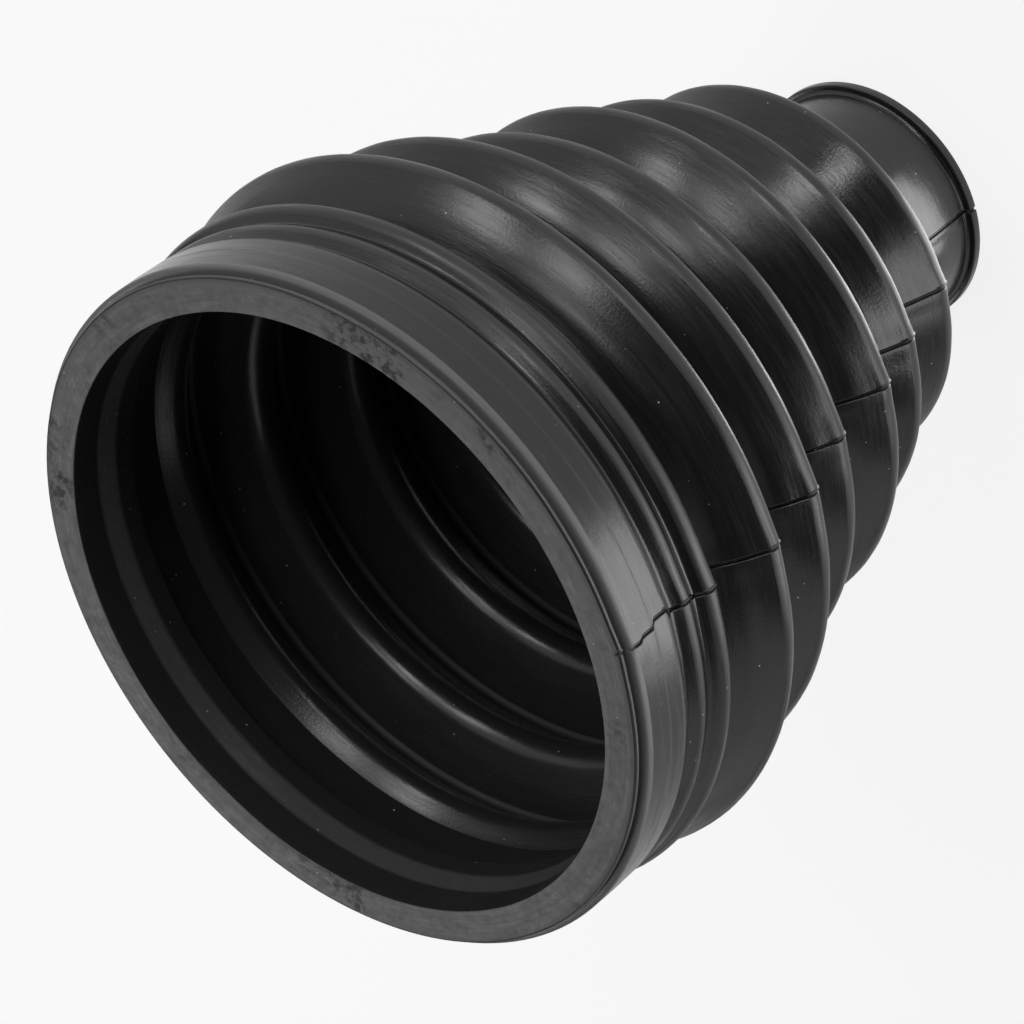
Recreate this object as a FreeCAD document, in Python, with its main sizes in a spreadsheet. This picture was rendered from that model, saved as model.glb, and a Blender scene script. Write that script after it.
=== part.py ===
# Rubber bellows boot, one moulded piece.
# It stands on its small end: +Z runs up the axis to the large mouth, and the origin is the
# middle of the small end face. The closed split faces -Y. Sizes are in millimetres.

import FreeCAD, Part
import math
import os
import Sketcher

node_name = "bellows_boot"

# Driving sizes. Folds are numbered from the mouth down to the neck. A "drop" is measured down from
# the feature above it, a "rise" up from the feature below it, and a "cut" inwards from its own wall.
size_rows = [
    # Small end: plain neck for the clamp, with a thin end flange
    ("neck_radius", 16.2),
    ("neck_wall", 2.5),
    ("neck_length", 16.4),
    ("neck_blend", 2.5),
    ("flange_width", 1.1),
    ("flange_thickness", 1.2),
    ("flange_blend", 0.6),
    ("bore_chamfer", 0.5),
    # Folds: crests, the valley that each crest but the first rises from, and their spacing
    ("crest_radius_1", 48.0),
    ("crest_radius_2", 44.2),
    ("crest_radius_3", 38.7),
    ("crest_radius_4", 35.9),
    ("crest_radius_5", 31.3),
    ("crest_radius_6", 26.9),
    ("valley_cut_1", 5.8),
    ("valley_cut_2", 5.7),
    ("valley_cut_3", 5.9),
    ("valley_cut_4", 3.5),
    ("valley_cut_5", 3.7),
    ("pitch_1", 12.6),
    ("pitch_2", 12.8),
    ("pitch_3", 13.1),
    ("pitch_4", 11.6),
    ("pitch_5", 13.2),
    ("last_crest_rise", 4.7),
    ("valley_drop", 5.0),
    ("crest_round", 1.6),
    ("valley_round", 2.0),
    # Wall of the folds
    ("wall", 2.0),
    ("crest_wall", 3.0),
    ("inner_crest_round", 0.8),
    ("inner_crest_rise", 0.6),
    # Collar, outside: lip, clamp band and two ridges between their grooves
    ("collar_wall", 5.4),
    ("lip_cut", 0.8),
    ("lip_round", 0.35),
    ("lip_groove_drop", 0.95),
    ("lip_groove_cut", 1.5),
    ("lip_groove_round", 0.2),
    ("band_drop", 0.2),
    ("band_length", 8.15),
    ("band_head_round", 0.35),
    ("band_foot_round", 1.2),
    ("band_step_drop", 4.45),
    ("band_step", 0.08),
    ("upper_groove_drop", 0.8),
    ("upper_groove_cut", 1.2),
    ("upper_ridge_drop", 2.0),
    ("upper_ridge_cut", 0.25),
    ("lower_groove_drop", 1.85),
    ("lower_groove_cut", 1.0),
    ("lower_ridge_drop", 2.0),
    ("lower_ridge_height", 0.5),
    ("groove_round", 0.4),
    ("ridge_round", 1.4),
    ("collar_valley_drop", 3.95),
    ("collar_valley_cut", 4.2),
    ("collar_valley_round", 1.0),
    ("collar_valley_wall", 1.5),
    ("collar_valley_rise", 6.7),
    # Collar, inside: plain land, bead and recess
    ("mouth_radius", 40.8),
    ("mouth_land", 4.2),
    ("bead_height", 0.7),
    ("bead_lead", 3.1),
    ("bead_length", 2.6),
    ("recess_cut", 1.4),
    ("recess_lead", 1.0),
    ("recess_length", 5.7),
    # Closed split down the front
    ("split_width", 0.35),
    ("split_cut", 0.8),
]
fold_count = 6


class Size:
    # A length that keeps its number together with the sheet expression it comes from.

    def __init__(self, value, text):
        self.value = value
        self.text = text

    def __add__(self, other):
        other = as_size(other)
        return Size(self.value + other.value, "(" + self.text + " + " + other.text + ")")

    def __sub__(self, other):
        other = as_size(other)
        return Size(self.value - other.value, "(" + self.text + " - " + other.text + ")")

    def __truediv__(self, divisor):
        return Size(self.value / divisor, "(" + self.text + " / " + repr(divisor) + ")")

    def __neg__(self):
        return Size(-self.value, "(-1 * " + self.text + ")")


def as_size(value):
    if isinstance(value, Size):
        return value
    return Size(float(value), repr(float(value)))


def make_sheet(doc):
    sheet = doc.addObject("Spreadsheet::Sheet", "Sizes")
    size = {}
    for row, (alias, value) in enumerate(size_rows, start=1):
        sheet.set("A" + str(row), alias)
        sheet.set("B" + str(row), str(value))
        sheet.setAlias("B" + str(row), alias)
        size[alias] = Size(value, "Sizes." + alias)
    return size


# An outline is a list of stops. A corner is a point, and a round is a circle that the outline
# runs along: turn is 1 where it bends left and -1 where it bends right.

def corner(radius, height):
    return {"at": (as_size(radius), as_size(height)), "round": None, "turn": 0}


def rounded(radius, height, round_size, turn):
    return {"at": (as_size(radius), as_size(height)), "round": as_size(round_size), "turn": turn}


def swing(stop):
    if stop["round"] is None:
        return 0.0
    return stop["turn"] * stop["round"].value


def tangent_run(first, second):
    # Ends of the straight run that leaves one stop and meets the next.
    ax, ay = first["at"][0].value, first["at"][1].value
    bx, by = second["at"][0].value, second["at"][1].value
    span = math.hypot(bx - ax, by - ay)
    heading = math.atan2(by - ay, bx - ax) - math.asin((swing(second) - swing(first)) / span)
    side = (math.sin(heading), -math.cos(heading))
    start = (ax + swing(first) * side[0], ay + swing(first) * side[1])
    end = (bx + swing(second) * side[0], by + swing(second) * side[1])
    return start, end


def place(geometry, point, at):
    # Ties a point to its radius and height. Each rule is a constraint with its expression.
    rules = [(Sketcher.Constraint("DistanceX", geometry, point, at[0].value), at[0].text)]
    if at[1].value == 0.0:
        rules.append((Sketcher.Constraint("PointOnObject", geometry, point, -1), None))
    else:
        rules.append((Sketcher.Constraint("DistanceY", geometry, point, at[1].value), at[1].text))
    return rules


def draw_outline(sketch, stops):
    # Straight runs first, then the rounds between them, all tied end to end.
    count = len(stops)
    runs = [tangent_run(stops[i], stops[(i + 1) % count]) for i in range(count)]
    shapes = [Part.LineSegment(FreeCAD.Vector(a[0], a[1], 0), FreeCAD.Vector(b[0], b[1], 0))
              for a, b in runs]
    rules = []
    for i, stop in enumerate(stops):
        before = (i - 1) % count
        if stop["round"] is None:
            rules.append((Sketcher.Constraint("Coincident", before, 2, i, 1), None))
            rules += place(i, 1, stop["at"])
            continue
        middle = FreeCAD.Vector(stop["at"][0].value, stop["at"][1].value, 0)
        enter, leave = runs[before][1], runs[i][0]
        ends = [enter, leave] if stop["turn"] > 0 else [leave, enter]
        angles = [math.atan2(p[1] - middle.y, p[0] - middle.x) for p in ends]
        circle = Part.Circle(middle, FreeCAD.Vector(0, 0, 1), stop["round"].value)
        arc = len(shapes)
        shapes.append(Part.ArcOfCircle(circle, angles[0], angles[1]))
        first, last = (1, 2) if stop["turn"] > 0 else (2, 1)
        rules.append((Sketcher.Constraint("Tangent", before, 2, arc, first), None))
        rules.append((Sketcher.Constraint("Tangent", i, 1, arc, last), None))
        rules.append((Sketcher.Constraint("Radius", arc, stop["round"].value), stop["round"].text))
        rules += place(arc, 3, stop["at"])
    sketch.addGeometry(shapes, False)
    sketch.addConstraint([rule for rule, text in rules])
    for index, (rule, text) in enumerate(rules):
        if text is not None:
            sketch.setExpression("Constraints[" + str(index) + "]", text)


def add_sketch(doc, body, name, offset, stops):
    plane = [o for o in body.Origin.OriginFeatures if o.Role == "XZ_Plane"][0]
    sketch = body.newObject("Sketcher::SketchObject", name)
    sketch.AttachmentSupport = [(plane, "")]
    sketch.MapMode = "FlatFace"
    sketch.AttachmentOffset = offset
    draw_outline(sketch, stops)
    doc.recompute()
    return sketch


# Places that the outlines share

def fold_layout(size):
    # Middles of the rounds of every crest, then of every valley, mouth to neck, as (radius, height).
    crest_heights = {fold_count: size["neck_length"] + size["last_crest_rise"]}
    for fold in range(fold_count - 1, 0, -1):
        crest_heights[fold] = crest_heights[fold + 1] + size["pitch_" + str(fold)]
    crests = []
    valleys = []
    for fold in range(1, fold_count + 1):
        crest_radius = size["crest_radius_" + str(fold)]
        crests.append((crest_radius - size["crest_round"], crest_heights[fold]))
        if fold < fold_count:
            below = size["crest_radius_" + str(fold + 1)]
            valley_radius = below - size["valley_cut_" + str(fold)]
            valley_height = crest_heights[fold] - size["valley_drop"]
            valleys.append((valley_radius + size["valley_round"], valley_height))
    return crests, valleys


def collar_heights(size):
    # Heights of the collar's features, counted up from the valley between the collar and fold 1.
    crests, valleys = fold_layout(size)
    height = {"valley": crests[0][1] + size["collar_valley_rise"]}
    height["lower_ridge"] = height["valley"] + size["collar_valley_drop"]
    height["lower_groove"] = height["lower_ridge"] + size["lower_ridge_drop"]
    height["upper_ridge"] = height["lower_groove"] + size["lower_groove_drop"]
    height["upper_groove"] = height["upper_ridge"] + size["upper_ridge_drop"]
    height["band_end"] = height["upper_groove"] + size["upper_groove_drop"]
    height["band_start"] = height["band_end"] + size["band_length"]
    height["band_step"] = height["band_start"] - size["band_step_drop"]
    height["lip_groove"] = height["band_start"] + size["band_drop"]
    height["mouth"] = height["lip_groove"] + size["lip_groove_drop"]
    return height


def band_radius(size):
    return size["mouth_radius"] + size["collar_wall"]


def collar_valley_radius(size):
    # Middle of the round in the valley between the collar and fold 1.
    return band_radius(size) - size["collar_valley_cut"] + size["collar_valley_round"]


def neck_blend_radius(size):
    return size["neck_radius"] + size["neck_blend"]


# The wall section, in order round it

def small_end(size):
    bore = size["neck_radius"] - size["neck_wall"]
    flange = size["neck_radius"] + size["flange_width"]
    blend = size["flange_blend"]
    return [
        corner(bore, size["bore_chamfer"]),
        corner(bore + size["bore_chamfer"], 0.0),
        corner(flange, 0.0),
        corner(flange, size["flange_thickness"]),
        rounded(size["neck_radius"] + blend, size["flange_thickness"] + blend, blend, -1),
    ]


def outer_folds(size, cut):
    # The outer face of the folds, neck to collar, lying "cut" below the surface.
    crests, valleys = fold_layout(size)
    stops = [rounded(neck_blend_radius(size), size["neck_length"], size["neck_blend"] + cut, -1)]
    for fold in range(fold_count, 0, -1):
        radius, height = crests[fold - 1]
        stops.append(rounded(radius, height, size["crest_round"] - cut, 1))
        if fold > 1:
            radius, height = valleys[fold - 2]
            stops.append(rounded(radius, height, size["valley_round"] + cut, -1))
    height = collar_heights(size)["valley"]
    stops.append(rounded(collar_valley_radius(size), height, size["collar_valley_round"] + cut, -1))
    return stops


def collar_outside(size):
    band = band_radius(size)
    lower_band = band - size["band_step"]
    height = collar_heights(size)
    ridge = size["ridge_round"]
    groove = size["groove_round"]
    lip_groove = size["lip_groove_round"]
    lower_ridge = band + size["lower_ridge_height"]
    upper_ridge = band - size["upper_ridge_cut"]
    lower_groove = band - size["lower_groove_cut"]
    upper_groove = band - size["upper_groove_cut"]
    band_foot = height["band_end"] + size["band_foot_round"]
    band_head = height["band_start"] - size["band_head_round"]
    lip_head = height["mouth"] - size["lip_round"]
    return [
        rounded(lower_ridge - ridge, height["lower_ridge"], ridge, 1),
        rounded(lower_groove + groove, height["lower_groove"], groove, -1),
        rounded(upper_ridge - ridge, height["upper_ridge"], ridge, 1),
        rounded(upper_groove + groove, height["upper_groove"], groove, -1),
        rounded(lower_band - size["band_foot_round"], band_foot, size["band_foot_round"], 1),
        corner(lower_band, height["band_step"] - size["band_step"]),
        corner(band, height["band_step"]),
        rounded(band - size["band_head_round"], band_head, size["band_head_round"], 1),
        rounded(band - size["lip_groove_cut"] + lip_groove, height["lip_groove"], lip_groove, -1),
        rounded(band - size["lip_cut"] - size["lip_round"], lip_head, size["lip_round"], 1),
    ]


def collar_inside(size):
    mouth = collar_heights(size)["mouth"]
    bead = size["mouth_radius"] - size["bead_height"]
    recess = size["mouth_radius"] + size["recess_cut"]
    land_end = mouth - size["mouth_land"]
    bead_start = land_end - size["bead_lead"]
    bead_end = bead_start - size["bead_length"]
    recess_start = bead_end - size["recess_lead"]
    recess_end = recess_start - size["recess_length"]
    return [
        corner(size["mouth_radius"], mouth),
        corner(size["mouth_radius"], land_end),
        corner(bead, bead_start),
        corner(bead, bead_end),
        corner(recess, recess_start),
        corner(recess, recess_end),
    ]


def inner_folds(size):
    # The inner face of the folds, collar to neck.
    crests, valleys = fold_layout(size)
    collar_bend = size["collar_valley_round"] + size["collar_valley_wall"]
    collar_height = collar_heights(size)["valley"]
    stops = [rounded(collar_valley_radius(size), collar_height, collar_bend, 1)]
    for fold in range(1, fold_count + 1):
        hollow_radius = size["crest_radius_" + str(fold)] - size["crest_wall"]
        hollow = hollow_radius - size["inner_crest_round"]
        hollow_height = crests[fold - 1][1] + size["inner_crest_rise"]
        stops.append(rounded(hollow, hollow_height, size["inner_crest_round"], -1))
        if fold < fold_count:
            radius, height = valleys[fold - 1]
            stops.append(rounded(radius, height, size["valley_round"] + size["wall"], 1))
    neck_bend = size["neck_blend"] + size["neck_wall"]
    stops.append(rounded(neck_blend_radius(size), size["neck_length"], neck_bend, 1))
    return stops


def wall_section(size):
    outside = small_end(size) + outer_folds(size, 0.0) + collar_outside(size)
    return outside + collar_inside(size) + inner_folds(size)


# The closed split is one narrow slot from the mouth to the end flange. It keeps its cut below
# the surface of the folds and the neck, and has a straight floor across the collar.

def split_section(size):
    cut = size["split_cut"]
    heights = collar_heights(size)
    reach = size["crest_radius_1"] + size["collar_wall"]
    below = -size["flange_thickness"]
    above = heights["mouth"] + size["flange_thickness"]
    collar_floor = band_radius(size) - size["lip_groove_cut"] - cut
    start = [corner(size["neck_radius"] - cut, below)]
    end = [
        corner(collar_floor, heights["lower_ridge"]),
        corner(collar_floor, above),
        corner(reach, above),
        corner(reach, below),
    ]
    return start + outer_folds(size, cut) + end


def build_boot(doc, size):
    body = doc.addObject("PartDesign::Body", "BellowsBoot")
    body.Label = node_name

    # The moulded wall, turned about the axis
    section = add_sketch(doc, body, "WallSection", FreeCAD.Placement(), wall_section(size))
    turned = body.newObject("PartDesign::Revolution", "TurnedWall")
    turned.Profile = section
    turned.ReferenceAxis = (section, ["V_Axis"])
    turned.Angle = 360.0
    doc.recompute()
    whole = turned.Shape.Volume

    # The closed split, cut on the front
    to_front = FreeCAD.Rotation(FreeCAD.Vector(0, 1, 0), -90)
    front = FreeCAD.Placement(FreeCAD.Vector(0, 0, 0), to_front)
    slot = add_sketch(doc, body, "SplitSection", front, split_section(size))
    split = body.newObject("PartDesign::Pocket", "Split")
    split.Profile = slot
    split.Type = "Length"
    split.SideType = "Symmetric"
    split.setExpression("Length", size["split_width"].text)
    doc.recompute()
    left = split.Shape.Volume

    print("wall", round(whole, 1), "mm3")
    print("split takes", round(whole - left, 2), "mm3")
    if not whole > left:
        raise RuntimeError("the split cuts nothing")
    return body


def check_document(doc, body):
    for item in doc.Objects:
        if "Invalid" in item.State or "Error" in item.State:
            raise RuntimeError(item.Name + " failed: " + str(item.State))
    shape = body.Shape
    if shape.isNull() or not shape.isValid():
        raise RuntimeError("the boot has no valid shape")
    if len(shape.Solids) != 1:
        raise RuntimeError("the boot is not one solid")
    box = shape.optimalBoundingBox()
    lengths = [round(length, 3) for length in (box.XLength, box.YLength, box.ZLength)]
    print("box", lengths, "from z", round(box.ZMin, 3))
    print("volume", round(shape.Volume, 1), "mm3, faces", len(shape.Faces))


def main():
    doc = FreeCAD.newDocument("bellows_boot")
    size = make_sheet(doc)
    doc.recompute()
    body = build_boot(doc, size)
    check_document(doc, body)
    os.makedirs("parts", exist_ok=True)
    body.Shape.exportStep("parts/" + node_name + ".step")


main()
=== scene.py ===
import bpy
import bmesh
import math
from mathutils import Matrix, Quaternion, Vector, noise


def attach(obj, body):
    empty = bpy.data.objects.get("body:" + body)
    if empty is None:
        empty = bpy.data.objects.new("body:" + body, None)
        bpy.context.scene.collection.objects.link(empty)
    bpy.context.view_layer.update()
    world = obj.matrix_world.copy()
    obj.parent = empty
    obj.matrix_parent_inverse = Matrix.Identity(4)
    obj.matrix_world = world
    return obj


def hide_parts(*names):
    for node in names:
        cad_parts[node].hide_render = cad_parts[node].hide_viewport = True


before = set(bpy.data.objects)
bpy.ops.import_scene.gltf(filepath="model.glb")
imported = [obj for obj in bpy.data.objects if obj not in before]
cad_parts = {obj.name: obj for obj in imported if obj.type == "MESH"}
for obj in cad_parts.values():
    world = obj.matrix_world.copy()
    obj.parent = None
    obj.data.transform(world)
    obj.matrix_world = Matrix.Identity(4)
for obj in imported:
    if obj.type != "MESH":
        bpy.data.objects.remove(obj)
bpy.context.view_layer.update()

mm = 0.001

# Section of the moulding, in millimetres. Folds run from the mouth down to the neck.
neck = {
    "radius": 16.2, "wall": 2.5, "length": 16.4, "blend": 2.5,
    "flangeWidth": 1.1, "flangeThickness": 1.2, "flangeBlend": 0.6, "boreChamfer": 0.5,
}
folds = {
    "crest": [48.0, 44.2, 38.7, 35.9, 31.3, 26.9],
    "valleyCut": [5.8, 5.7, 5.9, 3.5, 3.7],
    "pitch": [12.6, 12.8, 13.1, 11.6, 13.2],
    "lastRise": 4.7, "valleyDrop": 5.0, "crestRound": 1.6, "valleyRound": 2.0,
    "wall": 2.0, "crestWall": 3.0, "innerRound": 0.8, "innerRise": 0.6, "innerRidge": 2.7,
    "bulge": [0.3, 0.3, 0.3, 0.22, 0.0, 0.0], "bulgeFrom": 0.06, "bulgeTo": 0.84,
}
collar = {
    "mouth": 40.8, "wall": 5.4, "lipCut": 0.8, "lipRound": 0.35,
    "lipGrooveDrop": 0.95, "lipGrooveCut": 1.5, "lipGrooveRound": 0.2,
    "bandDrop": 0.2, "bandLength": 8.15, "headRound": 0.35, "footRound": 1.2,
    "stepDrop": 4.45, "step": 0.08, "stepRound": 0.03,
    "upperGrooveDrop": 0.8, "upperGrooveCut": 1.2, "upperRidgeDrop": 2.0, "upperRidgeCut": 0.25,
    "lowerGrooveDrop": 1.85, "lowerGrooveCut": 1.0, "lowerRidgeDrop": 2.0, "lowerRidgeHeight": 0.5,
    "grooveRound": 0.4, "ridgeRound": 1.4,
    "valleyDrop": 3.95, "valleyCut": 4.2, "valleyRound": 1.0, "valleyWall": 1.5, "valleyRise": 6.7,
    "land": 4.2, "beadHeight": 0.7, "beadLead": 3.1, "beadLength": 2.6,
    "recessCut": 1.4, "recessLead": 1.0, "recessLength": 5.7,
}
# Lengths are in millimetres, and the split's azimuth, zone and core in degrees. Body, zone and core
# steps are counts of steps round the axis.
meshing = {
    "runStep": 0.9, "collarStep": 0.3, "arcStep": 0.28, "cornerRound": 0.12, "leastArcSteps": 3,
    "leastTurn": 1e-4, "mergeDistance": 0.0005, "mouthDepth": 0.02, "leastLength": 0.05,
    "splitAzimuth": -90.0, "splitZone": 8.0, "splitCore": 0.7,
    "zoneSteps": 7, "coreSteps": 16, "bodySteps": 150, "coreRadius": 46.0,
}
# All in millimetres, apart from crestBend, which is one over millimetres. The route lists depths below
# the mouth and the split's sideways place from there on, and turn is the depth that each jog takes.
split = {
    "depth": 0.55, "flat": 0.11, "slope": 0.18, "flash": 0.44, "flashWidth": 0.09, "flashPlace": 0.02,
    "pinch": 0.18, "pinchReach": 5.5, "proud": 0.08, "proudPlace": -0.1, "proudWidth": 0.12,
    "nib": 0.2, "nibPlace": 0.32, "nibWidth": 0.2, "crestBend": 0.35,
    "riseFrom": 1.68, "riseReach": 2.4, "lipReach": 0.5, "turn": 0.25,
    "route": [(0.0, 0.6), (3.3, 1.0), (5.9, 1.8), (8.6, 0.6), (13.6, 0.2), (18.0, 0.0)],
}
softness = {
    "sagX": -0.25, "sagY": -0.15, "wave": 0.07, "waveSize": 16.0,
    "ripple": 0.03, "rippleSize": 3.0, "rippleSquash": 2.5, "heldEnds": 4.0,
}


def layout():
    # Heights of every crest and of the collar's features, worked up from the small end
    count = len(folds["crest"])
    crestHeight = [0.0] * count
    crestHeight[-1] = neck["length"] + folds["lastRise"]
    for i in range(count - 2, -1, -1):
        crestHeight[i] = crestHeight[i + 1] + folds["pitch"][i]
    place = {"crests": crestHeight, "valley": crestHeight[0] + collar["valleyRise"]}
    steps = [
        ("lowerRidge", "valleyDrop"), ("lowerGroove", "lowerRidgeDrop"),
        ("upperRidge", "lowerGrooveDrop"), ("upperGroove", "upperRidgeDrop"),
        ("bandEnd", "upperGrooveDrop"), ("bandStart", "bandLength"),
        ("lipGroove", "bandDrop"), ("mouth", "lipGrooveDrop"),
    ]
    height = place["valley"]
    for name, drop in steps:
        height += collar[drop]
        place[name] = height
    return place


def stop(radius, height, roundSize=None, bend=1, step="runStep"):
    # A round that the section runs along. bend is 1 to the left and -1 to the right.
    size = meshing["cornerRound"] if roundSize is None else roundSize
    return {"middle": Vector((radius, 0, height)), "swing": bend * size, "step": meshing[step]}


def corner(radius, height, inX, inZ, bend=1, step="runStep", roundSize=None):
    # A corner with a small round, whose middle stands inwards along both of its sides
    size = meshing["cornerRound"] if roundSize is None else roundSize
    return stop(radius + inX * size, height + inZ * size, size, bend, step)


def flank(first, second, bulge):
    # The round at a flank's upper end, and before it the long round on which the flank swells
    if bulge == 0:
        return [second]
    low, high = tangentRun(first, second)
    start, end = low.lerp(high, folds["bulgeFrom"]), low.lerp(high, folds["bulgeTo"])
    size = ((end - start).length ** 2 / 8 + bulge ** 2 / 2) / bulge
    outwards = Vector((end.z - start.z, 0, start.x - end.x)).normalized()
    middle = (start + end) / 2 - outwards * (size - bulge)
    return [stop(middle.x, middle.z, size), second]


def tangentRun(first, second):
    # Ends of the straight run between two rounds
    across = second["middle"] - first["middle"]
    heading = math.atan2(across.z, across.x) - math.asin((second["swing"] - first["swing"]) / across.length)
    side = Vector((math.sin(heading), 0, -math.cos(heading)))
    return first["middle"] + side * first["swing"], second["middle"] + side * second["swing"]


def outsideStops(place):
    band = collar["mouth"] + collar["wall"]
    bore = neck["radius"] - neck["wall"]
    flange = neck["radius"] + neck["flangeWidth"]
    blend = neck["flangeBlend"]
    stops = [
        stop(bore + neck["boreChamfer"], meshing["cornerRound"]),
        corner(flange, 0.0, -1, 1),
        corner(flange, neck["flangeThickness"], -1, -1),
        stop(neck["radius"] + blend, neck["flangeThickness"] + blend, blend, -1),
        stop(neck["radius"] + neck["blend"], neck["length"], neck["blend"], -1),
    ]
    crests = folds["crest"]
    for i in range(len(crests) - 1, -1, -1):
        stops.append(stop(crests[i] - folds["crestRound"], place["crests"][i], folds["crestRound"]))
        if i > 0:
            valley = crests[i] - folds["valleyCut"][i - 1] + folds["valleyRound"]
            low = stop(valley, place["crests"][i - 1] - folds["valleyDrop"], folds["valleyRound"], -1)
            stops += flank(stops[-1], low, folds["bulge"][i])
    ridge, groove, lipGroove = collar["ridgeRound"], collar["grooveRound"], collar["lipGrooveRound"]
    foot, head, lip = collar["footRound"], collar["headRound"], collar["lipRound"]
    step, stepRound = collar["step"], collar["stepRound"]
    valley = band - collar["valleyCut"] + collar["valleyRound"]
    fine = "collarStep"
    lowBand = band - step
    stepHeight = place["bandStart"] - collar["stepDrop"]
    low = stop(valley, place["valley"], collar["valleyRound"], -1, fine)
    stops += flank(stops[-1], low, folds["bulge"][0])
    stops += [
        stop(band + collar["lowerRidgeHeight"] - ridge, place["lowerRidge"], ridge, 1, fine),
        stop(band - collar["lowerGrooveCut"] + groove, place["lowerGroove"], groove, -1, fine),
        stop(band - collar["upperRidgeCut"] - ridge, place["upperRidge"], ridge, 1, fine),
        stop(band - collar["upperGrooveCut"] + groove, place["upperGroove"], groove, -1, fine),
        stop(lowBand - foot, place["bandEnd"] + foot, foot, 1, fine),
        corner(lowBand, stepHeight - step, 1, 0, -1, fine, stepRound),
        corner(band, stepHeight, -1, 0, 1, fine, stepRound),
        stop(band - head, place["bandStart"] - head, head, 1, fine),
        stop(band - collar["lipGrooveCut"] + lipGroove, place["lipGroove"], lipGroove, -1, fine),
        stop(band - collar["lipCut"] - lip, place["mouth"] - lip, lip),
    ]
    return stops


def insideStops(place):
    mouth = collar["mouth"]
    band = mouth + collar["wall"]
    bead = mouth - collar["beadHeight"]
    recess = mouth + collar["recessCut"]
    landEnd = place["mouth"] - collar["land"]
    beadStart = landEnd - collar["beadLead"]
    beadEnd = beadStart - collar["beadLength"]
    recessStart = beadEnd - collar["recessLead"]
    recessEnd = recessStart - collar["recessLength"]
    stops = [
        corner(mouth, place["mouth"], 1, -1),
        corner(mouth, landEnd, -1, 0, -1),
        corner(bead, beadStart, 1, 0),
        corner(bead, beadEnd, 1, 0),
        corner(recess, recessStart, -1, 0, -1),
        corner(recess, recessEnd, -1, 0, -1),
        stop(band - collar["valleyCut"] + collar["valleyRound"], place["valley"],
             collar["valleyRound"] + collar["valleyWall"]),
    ]
    crests = folds["crest"]
    for i, crest in enumerate(crests):
        hollow = crest - folds["crestWall"] - folds["innerRound"]
        stops.append(stop(hollow, place["crests"][i] + folds["innerRise"], folds["innerRound"], -1))
        if i + 1 < len(crests):
            valley = crests[i + 1] - folds["valleyCut"][i] + folds["valleyRound"]
            height = place["crests"][i] - folds["valleyDrop"]
            inwards = folds["valleyRound"] + folds["wall"] - folds["innerRidge"]
            stops.append(stop(valley - inwards, height, folds["innerRidge"]))
    neckBend = neck["blend"] + neck["wall"]
    stops.append(stop(neck["radius"] + neck["blend"], neck["length"], neckBend))
    bore = neck["radius"] - neck["wall"]
    stops.append(corner(bore, neck["boreChamfer"], 1, 0))
    return stops


def drawSection(mesh, stops):
    # Each round is a vertex spun about its middle, and each straight run an edge cut into short steps
    count = len(stops)
    runs = [tangentRun(stops[i], stops[(i + 1) % count]) for i in range(count)]
    for i, item in enumerate(stops):
        enter, leave = runs[i - 1][1], runs[i][0]
        before, after = enter - item["middle"], leave - item["middle"]
        angle = math.atan2(before.x * after.z - before.z * after.x, before.dot(after))
        steps = max(meshing["leastArcSteps"], math.ceil(abs(angle * item["swing"]) / meshing["arcStep"]))
        if abs(angle) > meshing["leastTurn"]:
            geom = [mesh.verts.new(enter)]
            bmesh.ops.spin(mesh, geom=geom, cent=item["middle"], axis=(0, -1, 0), angle=angle, steps=steps)
        run = mesh.edges.new([mesh.verts.new(point) for point in runs[i]])
        cuts = math.ceil(run.calc_length() / item["step"]) - 1
        if cuts > 0:
            bmesh.ops.subdivide_edges(mesh, edges=[run], cuts=cuts)
    bmesh.ops.remove_doubles(mesh, verts=mesh.verts[:], dist=meshing["mergeDistance"])
    return min(mesh.verts, key=lambda vert: (vert.co - runs[-1][1]).length)


def walk(first):
    # The section's vertices in order, starting outwards along the end face
    path = [first]
    link = max(first.link_edges, key=lambda edge: edge.other_vert(first).co.x)
    vert = link.other_vert(first)
    while vert != first:
        path.append(vert)
        link = [edge for edge in vert.link_edges if edge != link][0]
        vert = link.other_vert(vert)
    return path


marks = ("run", "side", "bend")


def markSection(mesh, path, place):
    # Run is how far along the section a vertex lies, and bend how sharply the section turns there.
    # Side is 0 outside, 0.5 on the mouth's face and 1 inside.
    run, side, bend = (mesh.verts.layers.float[name] for name in marks)
    length, beyondMouth = 0.0, False
    for i, vert in enumerate(path):
        before, after = path[i - 1].co, path[(i + 1) % len(path)].co
        length += (vert.co - before).length if i else 0.0
        onMouth = vert.co.z > place["mouth"] - meshing["mouthDepth"]
        beyondMouth = beyondMouth or onMouth
        vert[run] = length
        vert[side] = 0.5 if onMouth else (1.0 if beyondMouth else 0.0)
        a, b = vert.co - before, after - vert.co
        turn = math.atan2(a.x * b.z - a.z * b.x, a.dot(b))
        vert[bend] = turn / max((a.length + b.length) / 2, meshing["leastLength"])


def spinSection(mesh):
    # Round the axis in four stretches, with fine steps only where the split runs
    zone, core = meshing["splitZone"], meshing["splitCore"]
    start = math.radians(meshing["splitAzimuth"] - zone)
    bmesh.ops.rotate(mesh, verts=mesh.verts[:], cent=(0, 0, 0), matrix=Matrix.Rotation(start, 3, "Z"))
    stretches = [
        (zone - core, meshing["zoneSteps"]), (2 * core, meshing["coreSteps"]),
        (zone - core, meshing["zoneSteps"]), (360 - 2 * zone, meshing["bodySteps"]),
    ]
    geom = mesh.verts[:] + mesh.edges[:]
    for degrees, steps in stretches:
        angle = math.radians(degrees)
        made = bmesh.ops.spin(mesh, geom=geom, cent=(0, 0, 0), axis=(0, 0, 1), angle=angle, steps=steps)
        geom = made["geom_last"]
    bmesh.ops.remove_doubles(mesh, verts=mesh.verts[:], dist=meshing["mergeDistance"])
    bmesh.ops.recalc_face_normals(mesh, faces=mesh.faces[:])


def smooth(value):
    value = min(max(value, 0.0), 1.0)
    return value * value * (3 - 2 * value)


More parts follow.
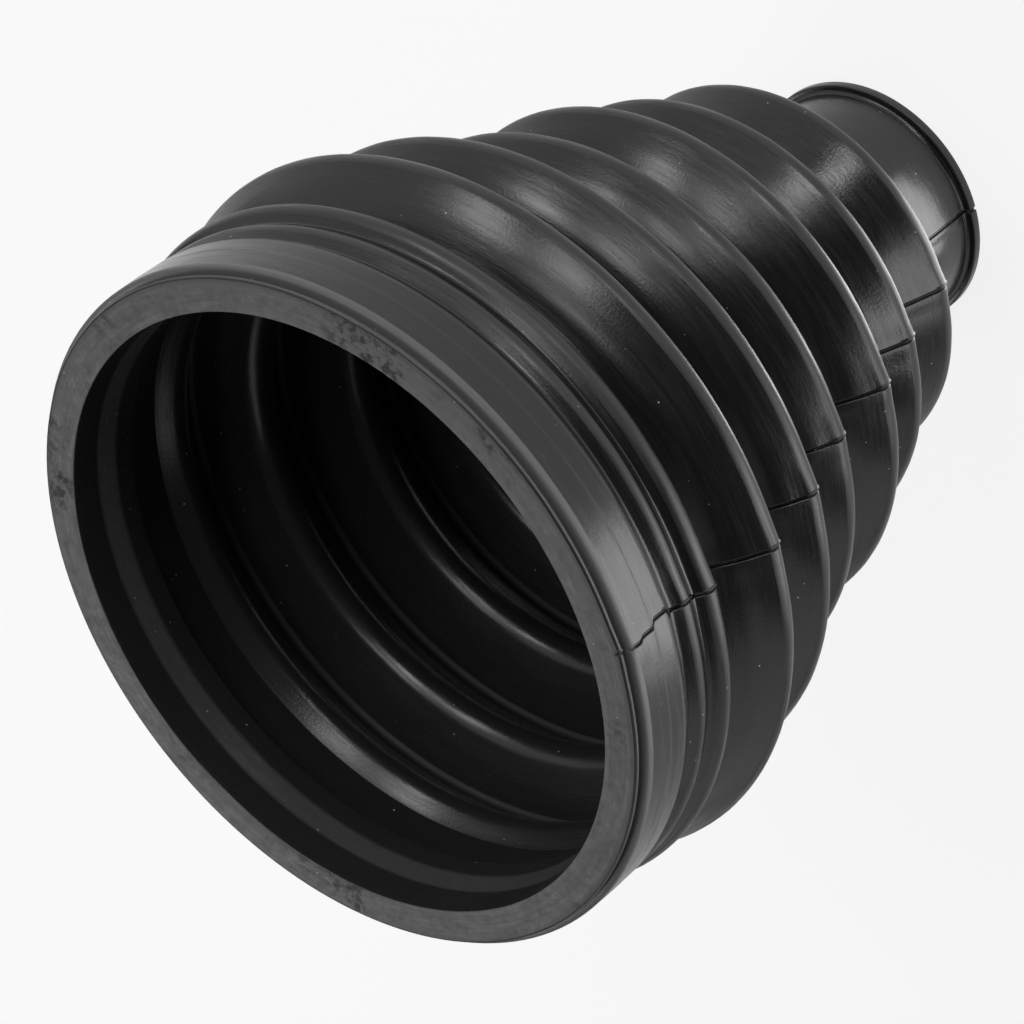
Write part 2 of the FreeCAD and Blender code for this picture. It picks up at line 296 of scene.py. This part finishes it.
def routeAt(depth):
    # Sideways place of the split at a depth below the mouth
    route = split["route"]
    x = route[0][1]
    for i in range(1, len(route)):
        turnDepth, here = route[i]
        x += (here - route[i - 1][1]) * smooth((depth - turnDepth) / split["turn"] + 0.5)
    return x


def splitTurn(theta, radius, depth):
    # Keeps the split as wide in millimetres on the neck as on the collar, and leads it along its route
    zone, core = math.radians(meshing["splitZone"]), math.radians(meshing["splitCore"])
    near = core * meshing["coreRadius"] / radius
    size = abs(theta)
    if size < core:
        turned = size / core * near
    else:
        turned = near + (size - core) / (zone - core) * (zone - near)
    hold = smooth((zone - size) / (zone - core))
    return math.copysign(turned, theta) + routeAt(depth) / radius * hold


def splitSwell(away, height, bend):
    # How far the surface stands out beside the split: pinched edges, one of them proud, a nib on each
    # crest, and the groove with a flash in it
    groove = 1 - smooth((abs(away) - split["flat"]) / split["slope"])
    flash = split["flash"] * (1 - smooth(abs(away - split["flashPlace"]) / split["flashWidth"]))
    pinch = split["pinch"] * (1 - smooth(abs(away) / split["pinchReach"])) ** 2
    crest = smooth(bend / split["crestBend"])
    rise = smooth((height - split["riseFrom"]) / split["riseReach"])
    oneSide = smooth((away - split["proudPlace"]) / split["proudWidth"])
    proud = crest * oneSide * split["proud"] * (1 - smooth(away / split["pinchReach"]))
    nib = crest * split["nib"] * (1 - smooth(abs(away - split["nibPlace"]) / split["nibWidth"]))
    return (pinch + proud + nib) * rise - (split["depth"] - flash) * groove


def soften(point, place):
    # Adds the small waves and the sag of a soft moulding, and leaves both ends as they are
    height = point.z
    squashed = Vector((point.x, point.y, height * softness["rippleSquash"]))
    wave = noise.noise(point / softness["waveSize"]) * softness["wave"]
    ripple = noise.noise(squashed / softness["rippleSize"]) * softness["ripple"]
    held = softness["heldEnds"]
    swell = (wave + ripple) * smooth(height / held) * smooth((place["mouth"] - height) / held)
    point += Vector((point.x, point.y, 0)).normalized() * swell
    sag = math.sin(math.pi * smooth(height / place["valley"])) if height < place["valley"] else 0.0
    point.x += softness["sagX"] * sag
    point.y += softness["sagY"] * sag


def shapeBoot(mesh, place):
    # Carries the split's groove and the softness into the spun mesh, and turns millimetres to metres
    side, bend = (mesh.verts.layers.float[name] for name in marks[1:])
    zone = math.radians(meshing["splitZone"])
    middle = math.radians(meshing["splitAzimuth"])
    lip = collar["mouth"] + collar["wall"] - collar["lipCut"] - split["lipReach"]
    for vert in mesh.verts:
        radius = math.hypot(vert.co.x, vert.co.y)
        theta = (math.atan2(vert.co.y, vert.co.x) - middle + math.pi) % (2 * math.pi) - math.pi
        height = vert.co.z
        if abs(theta) < zone:
            away = theta * meshing["coreRadius"]
            theta = splitTurn(theta, radius, place["mouth"] - height)
            isOutside, isInside = vert[side] < 0.25, vert[side] > 0.75
            if isOutside or radius > lip and not isInside:
                radius += splitSwell(away, height, vert[bend])
        point = Vector((math.cos(middle + theta) * radius, math.sin(middle + theta) * radius, height))
        soften(point, place)
        vert.co = point * mm


def addObject(name, data):
    made = bpy.data.objects.new(name, data)
    bpy.context.scene.collection.objects.link(made)
    return made


def buildBoot():
    place = layout()
    mesh = bmesh.new()
    for name in marks:
        mesh.verts.layers.float.new(name)
    first = drawSection(mesh, outsideStops(place) + insideStops(place))
    path = walk(first)
    markSection(mesh, path, place)
    print("section has", len(path), "points")
    spinSection(mesh)
    shapeBoot(mesh, place)
    for face in mesh.faces:
        face.smooth = True
    data = bpy.data.meshes.new("mouldedBoot")
    mesh.to_mesh(data)
    mesh.free()
    boot = addObject("mouldedBoot", data)
    print("boot mesh", len(data.vertices), "vertices", len(data.polygons), "faces")
    return boot


class Wire:
    # A socket that maths can be written on: each operator adds its Math node

    def __init__(self, shader, socket):
        self.shader = shader
        self.socket = socket

    def maths(self, operation, *values):
        return self.shader.node("ShaderNodeMath", {"operation": operation}, dict(enumerate(values)))

    def __add__(self, other):
        return self.maths("ADD", self, other)

    def __radd__(self, other):
        return self.maths("ADD", other, self)

    def __sub__(self, other):
        return self.maths("SUBTRACT", self, other)

    def __rsub__(self, other):
        return self.maths("SUBTRACT", other, self)

    def __mul__(self, other):
        return self.maths("MULTIPLY", self, other)

    def __rmul__(self, other):
        return self.maths("MULTIPLY", other, self)

    def __truediv__(self, other):
        return self.maths("DIVIDE", self, other)

    def __pow__(self, other):
        return self.maths("POWER", self, other)

    def over(self, low, high):
        # 0 below low, 1 above high, smooth between
        ends = {"Value": self, "From Min": low, "From Max": high}
        return self.shader.node("ShaderNodeMapRange", {"interpolation_type": "SMOOTHSTEP"}, ends)

    def sibling(self, output):
        # Another output of the same node
        return Wire(self.shader, self.socket.node.outputs[output])


class Shader:
    def __init__(self, name):
        self.material = bpy.data.materials.new(name)
        self.material.use_nodes = True
        self.tree = self.material.node_tree
        self.tree.nodes.clear()

    def node(self, kind, settings=None, inputs=None, output=0):
        made = self.tree.nodes.new(kind)
        for key, value in (settings or {}).items():
            setattr(made, key, value)
        for key, value in (inputs or {}).items():
            if isinstance(value, Wire):
                self.tree.links.new(value.socket, made.inputs[key])
            else:
                made.inputs[key].default_value = value
        return Wire(self, made.outputs[output]) if len(made.outputs) else None


# Greys are linear. Spans give the values between which a mark or a noise fades in. Shares say how much
# of a colour is mixed in, and the Rough values are added to roughness. Noises have a detail and a
# roughness of their own.
rubber = {
    # The worn colour on the crests is partly rubbed wear and partly a painted highlight along each crest.
    "colour": 0.005, "streakLift": 1.7, "wearAndCrestSheenColour": 0.026, "insideColour": 0.015, "leadColour": 0.045,
    "stripColour": 0.09, "mouthColour": 0.042, "pitColour": 0.018, "dustColour": 0.45, "blueness": 1.02,
    "crestSheenAndWearShare": 0.3, "smearShare": 0.15, "leadShare": 0.6, "stripShare": 0.9,
    "mouthShare": 0.35, "mottleShare": 0.6,
    "roughness": 0.25, "streakRough": 0.24, "smearRough": 0.16, "broadRough": 0.12,
    "crestRough": 0.17, "crestStreakRough": 0.6, "mottleRough": 0.5, "ridgeRough": 0.4,
    "pitRough": 0.3, "speckRough": 0.3, "mouthRoughness": 0.6, "stripRoughness": 0.5,
    "streakTurns": 5.0, "streakPerMm": 3.2, "smearTurns": 3.5, "smearPerMm": 0.9,
    "grainMm": 0.35, "mottleMm": 1.3, "broadPerMm": 0.07, "speckMm": 1.6, "speckSize": 0.085,
    "speckCore": 0.4, "leastSpeck": 0.3, "speckPatches": 0.7,
    "grainDepth": 0.016, "stripGrain": 0.02, "streakDepth": 0.012, "smearDepth": 0.022,
    "stripFrom": 0.15, "stripEdge": 0.15, "stripDepth": 2.15, "stripFade": 0.1,
    "leadIn": 0.4, "leadOut": 0.6,
    "faceSpan": (0.05, 0.2), "outsideSpan": (0.1, 0.3), "insideSpan": (0.8, 0.95),
    "crestSpan": (0.25, 0.6), "ridgeSpan": (0.3, 0.8), "streakSpan": (0.35, 0.75),
    "smearSpan": (0.6, 0.8), "mottleSpan": (0.3, 0.55),
    "pitPatchSpan": (0.53, 0.68), "pitSpan": (0.46, 0.62), "speckSpan": (0.79, 0.81),
    "streakNoise": (4.0, 0.65), "smearNoise": (3.0, 0.7), "mottleNoise": (4.0, 0.7), "plainNoise": (3.0, 0.5),
}


def noiseNode(shader, where, scale, kind):
    detail, rough = rubber[kind]
    inputs = {"Vector": where, "Scale": scale, "Detail": detail, "Roughness": rough}
    return shader.node("ShaderNodeTexNoise", None, inputs)


def readMarks(shader):
    # The mesh's own marks and the masks that they give
    run, side, bend = (shader.node("ShaderNodeAttribute", {"attribute_name": name}, output="Fac")
                       for name in marks)
    offFace = side - 0.5
    found = {"run": run, "onMouth": 1 - offFace.maths("ABSOLUTE", offFace).over(*rubber["faceSpan"])}
    found["outside"] = 1 - side.over(*rubber["outsideSpan"])
    found["inside"] = side.over(*rubber["insideSpan"])
    found["crest"] = bend.over(*rubber["crestSpan"]) * found["outside"]
    found["ridge"] = (0.0 - bend).over(*rubber["ridgeSpan"]) * found["inside"]
    return found


def readNoises(shader, at, run):
    # Streaks and longer smears run round the moulding. The others have no direction.
    x, y = at["x"] / at["radius"], at["y"] / at["radius"]

    def around(turns, perMm, kind):
        ring = shader.node("ShaderNodeCombineXYZ", None, {0: x * turns, 1: y * turns, 2: run * perMm})
        return noiseNode(shader, ring, 1.0, kind)

    return {
        "streak": around(rubber["streakTurns"], rubber["streakPerMm"], "streakNoise"),
        "smear": around(rubber["smearTurns"], rubber["smearPerMm"], "smearNoise"),
        "broad": noiseNode(shader, at["point"], rubber["broadPerMm"], "plainNoise"),
        "grain": noiseNode(shader, at["point"], 1 / rubber["grainMm"], "plainNoise"),
        "mottle": noiseNode(shader, at["point"], 1 / rubber["mottleMm"], "mottleNoise"),
    }


def dustSpecks(shader, point, broad):
    # A few of the cells hold a speck each, of uneven size and more in some places than in others
    cells = {"Vector": point, "Scale": 1 / rubber["speckMm"], "Randomness": 1.0}
    specks = shader.node("ShaderNodeTexVoronoi", {"feature": "F1"}, cells, "Distance")
    draw = shader.node("ShaderNodeSeparateColor", None, {0: specks.sibling("Color")})
    chosen = (draw + (broad - 0.5) * rubber["speckPatches"]).over(*rubber["speckSpan"])
    disc = 1 - specks.over(rubber["speckSize"] * rubber["speckCore"], rubber["speckSize"])
    return chosen * disc * (draw.sibling(1) * (1 - rubber["leastSpeck"]) + rubber["leastSpeck"])


def makeRubber():
    shader = Shader("mouldedRubber")
    spot = shader.node("ShaderNodeTexCoord", output="Object")
    point = shader.node("ShaderNodeVectorMath", {"operation": "SCALE"}, {0: spot, "Scale": 1 / mm})
    apart = shader.node("ShaderNodeSeparateXYZ", None, {0: point})
    x, y, z = (apart.sibling(i) for i in range(3))
    at = {"point": point, "x": x, "y": y, "radius": (x * x + y * y) ** 0.5}
    found = readMarks(shader)
    onMouth, crest = found["onMouth"], found["crest"]
    outside, inside = found["outside"], found["inside"]
    noises = readNoises(shader, at, found["run"])
    streak, smear, broad = noises["streak"], noises["smear"], noises["broad"]
    grain, mottle = noises["grain"], noises["mottle"]

    # The matt strip between the lip and the band, a lighter mottled band on the inside slope down to the
    # bead, dull patches on the mouth's face, and dust
    depth = layout()["mouth"] - z
    leadEnd = collar["land"] + collar["beadLead"]
    lead = inside * depth.over(collar["land"], collar["land"] + rubber["leadIn"])
    lead = lead * (1 - depth.over(leadEnd - rubber["leadOut"], leadEnd))
    stripEnd, fade = rubber["stripDepth"], rubber["stripFade"]
    strip = outside * depth.over(rubber["stripFrom"], rubber["stripFrom"] + rubber["stripEdge"])
    strip = strip * (1 - depth.over(stripEnd - fade, stripEnd + fade))
    pits = onMouth * broad.over(*rubber["pitPatchSpan"]) * mottle.over(*rubber["pitSpan"])
    speck = dustSpecks(shader, point, broad)

    def grey(value):
        return value, value, value * rubber["blueness"], 1

    def blend(factor, first, second):
        return shader.node("ShaderNodeMix", {"data_type": "RGBA"}, {0: factor, 6: first, 7: second}, 2)

    # Crests are painted lighter: partly rubbed wear, partly a painted highlight along each crest. The smears
    # add a lighter random tone.
    wearAndCrestSheen = crest * rubber["crestSheenAndWearShare"] + smear.over(*rubber["smearSpan"]) * rubber["smearShare"]
    faceShare = rubber["mouthShare"] + mottle.over(*rubber["mottleSpan"]) * rubber["mottleShare"]
    plain, lifted = grey(rubber["colour"]), grey(rubber["colour"] * rubber["streakLift"])
    shade = blend(streak.over(*rubber["streakSpan"]), plain, lifted)
    shade = blend(wearAndCrestSheen, shade, grey(rubber["wearAndCrestSheenColour"]))
    shade = blend(inside, shade, grey(rubber["insideColour"]))
    shade = blend(lead * rubber["leadShare"] * (mottle + 1), shade, grey(rubber["leadColour"]))
    shade = blend(strip * rubber["stripShare"], shade, grey(rubber["stripColour"]))
    shade = blend(onMouth * faceShare, shade, grey(rubber["mouthColour"]))
    shade = blend(pits, shade, grey(rubber["pitColour"]))
    colour = blend(speck, shade, grey(rubber["dustColour"]))

    base = rubber["roughness"]
    roughness = base + (streak - 0.5) * rubber["streakRough"] + (smear - 0.5) * rubber["smearRough"]
    roughness = roughness + (broad - 0.5) * rubber["broadRough"] + found["ridge"] * rubber["ridgeRough"]
    roughness = roughness + crest * (rubber["crestRough"] + (streak - 0.5) * rubber["crestStreakRough"])
    faceRough = rubber["mouthRoughness"] - base + (mottle - 0.5) * rubber["mottleRough"]
    roughness = roughness + onMouth * faceRough
    roughness = roughness + pits * rubber["pitRough"] + speck * rubber["speckRough"]
    roughness = roughness + strip * (rubber["stripRoughness"] - base)
    height = grain * (rubber["grainDepth"] + strip * rubber["stripGrain"]) + streak * rubber["streakDepth"]
    height = height + smear * rubber["smearDepth"] * outside
    bump = shader.node("ShaderNodeBump", None, {"Strength": 1.0, "Distance": mm, "Height": height})
    inputs = {"Base Color": colour, "Roughness": roughness, "Normal": bump, "IOR": 1.5}
    surface = shader.node("ShaderNodeBsdfPrincipled", None, inputs)
    shader.node("ShaderNodeOutputMaterial", None, {"Surface": surface})
    return shader.material


# White is how much of a plain white shows in place of the lit floor to the camera and in reflections.
# The next entry gives the stretch of x, in metres, over which reflections lose it: painted shade on that side
# of the floor, seen only in reflections.
stage = {"floorSize": 6.0, "floorColour": 0.85, "white": 0.82, "reflectedShadeSpan": (-0.2, -0.05)}


def makeStage():
    mesh = bmesh.new()
    bmesh.ops.create_grid(mesh, x_segments=1, y_segments=1, size=stage["floorSize"] / 2)
    data = bpy.data.meshes.new("paleFloor")
    mesh.to_mesh(data)
    mesh.free()
    floor = addObject("paleFloor", data)
    shader = Shader("paleFloor")
    colour = stage["floorColour"]
    plain = shader.node("ShaderNodeBsdfDiffuse", None, {"Color": (colour, colour, colour, 1)})
    white = shader.node("ShaderNodeEmission", None, {"Color": (1, 1, 1, 1), "Strength": 1.0})
    rays = shader.node("ShaderNodeLightPath", output="Is Camera Ray")
    spot = shader.node("ShaderNodeTexCoord", output="Object")
    x = shader.node("ShaderNodeSeparateXYZ", None, {0: spot})
    # Glossy rays see the white only towards +x, which paints shade into reflections of the floor on the -x
    # side.
    seen = rays.maths("MAXIMUM", rays, rays.sibling("Is Glossy Ray") * x.over(*stage["reflectedShadeSpan"]))
    mixed = shader.node("ShaderNodeMixShader", None, {0: seen * stage["white"], 1: plain, 2: white})
    shader.node("ShaderNodeOutputMaterial", None, {"Surface": mixed})
    data.materials.append(shader.material)


# The camera sees white, and the boot gets this share of it as light
world = {"light": 0.05}


def makeWorld():
    made = bpy.data.worlds.new("studio")
    bpy.context.scene.world = made
    made.use_nodes = True
    tree = made.node_tree
    tree.nodes.clear()
    rays = tree.nodes.new("ShaderNodeLightPath")
    back = tree.nodes.new("ShaderNodeBackground")
    back.inputs["Color"].default_value = (1, 1, 1, 1)
    strength = tree.nodes.new("ShaderNodeMapRange")
    strength.inputs["To Min"].default_value = world["light"]
    strength.inputs["To Max"].default_value = 1.0
    tree.links.new(rays.outputs["Is Camera Ray"], strength.inputs["Value"])
    tree.links.new(strength.outputs[0], back.inputs["Strength"])
    out = tree.nodes.new("ShaderNodeOutputWorld")
    tree.links.new(back.outputs[0], out.inputs["Surface"])


# The photograph's view: azimuth and elevation as seen from the boot, and how far the camera is rolled
camera = {
    "azimuth": 31.75, "elevation": 38.478, "roll": 127.93, "distance": 672.03,
    "aim": (-2.77, -1.72, 79.52), "lens": 193.36, "sensor": 36.0, "clip": (0.01, 20),
}


def direction(azimuth, elevation):
    a, e = math.radians(azimuth), math.radians(elevation)
    return Vector((math.sin(a) * math.cos(e), -math.cos(a) * math.cos(e), math.sin(e)))


def makeCamera():
    data = bpy.data.cameras.new("photoView")
    data.lens, data.sensor_width = camera["lens"], camera["sensor"]
    data.clip_start, data.clip_end = camera["clip"]
    view = addObject("photoView", data)
    back = direction(camera["azimuth"], camera["elevation"])
    view.location = (Vector(camera["aim"]) + back * camera["distance"]) * mm
    view.rotation_mode = "QUATERNION"
    roll = Quaternion((0, 0, 1), -math.radians(camera["roll"]))
    view.rotation_quaternion = (-back).to_track_quat("-Z", "Y") @ roll
    bpy.context.scene.camera = view


# Soft boxes: the direction they stand in from the boot's middle, their distance, width and height in
# metres, and power in watts. Those with a place stand there and face the way that is given.
lampsAim = (0, 0, 0.06)
lamps = {
    "wideBox": {"azimuth": 117, "elevation": 32, "distance": 1.5, "size": (3.6, 1.95), "power": 15.0},
    "cornerBox": {"azimuth": 97, "elevation": 34, "distance": 1.0, "size": (0.22, 0.36), "power": 1.5},
    "highBox": {"azimuth": 67, "elevation": 38, "distance": 1.0, "size": (0.25, 0.28), "power": 1.1},
    "topBox": {"azimuth": 70, "elevation": 62, "distance": 1.0, "size": (0.3, 0.28), "power": 0.9},
    "lowBox": {"azimuth": 54, "elevation": 13, "distance": 1.0, "size": (0.2, 0.3), "power": 1.8},
    "sideBox": {"azimuth": -82, "elevation": 22, "distance": 1.5, "size": (1.8, 1.2), "power": 5.0},
    "backBox": {"azimuth": 212, "elevation": 38, "distance": 0.9, "size": (0.5, 0.5), "power": 3.2},
    "leaningPanel": {
        "place": (-0.049, -0.202, 0.092), "facing": (0.178, 0.547, 0.818),
        "size": (0.088, 0.24), "power": 0.27,
    },
    "footPanel": {"place": (0.003, -0.04, 0.002), "facing": (0, 0, 1), "size": (0.022, 0.04), "power": 0.016},
}


def makeLamps():
    for name, lamp in lamps.items():
        data = bpy.data.lights.new(name, "AREA")
        data.shape = "RECTANGLE"
        data.size, data.size_y = lamp["size"]
        data.energy = lamp["power"]
        made = addObject(name, data)
        made.visible_camera = False
        made.rotation_mode = "QUATERNION"
        if "place" in lamp:
            made.location = lamp["place"]
            made.rotation_quaternion = Vector(lamp["facing"]).to_track_quat("-Z", "Y")
        else:
            back = direction(lamp["azimuth"], lamp["elevation"])
            made.location = Vector(lampsAim) + back * lamp["distance"]
            made.rotation_quaternion = (-back).to_track_quat("-Z", "Y")


boot = buildBoot()
boot.data.materials.append(makeRubber())
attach(boot, "root")
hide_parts("bellows_boot")
print("boot done")

makeStage()
makeWorld()
makeLamps()
makeCamera()
bpy.context.scene.view_settings.view_transform = "Standard"
print("stage, lamps and camera done")
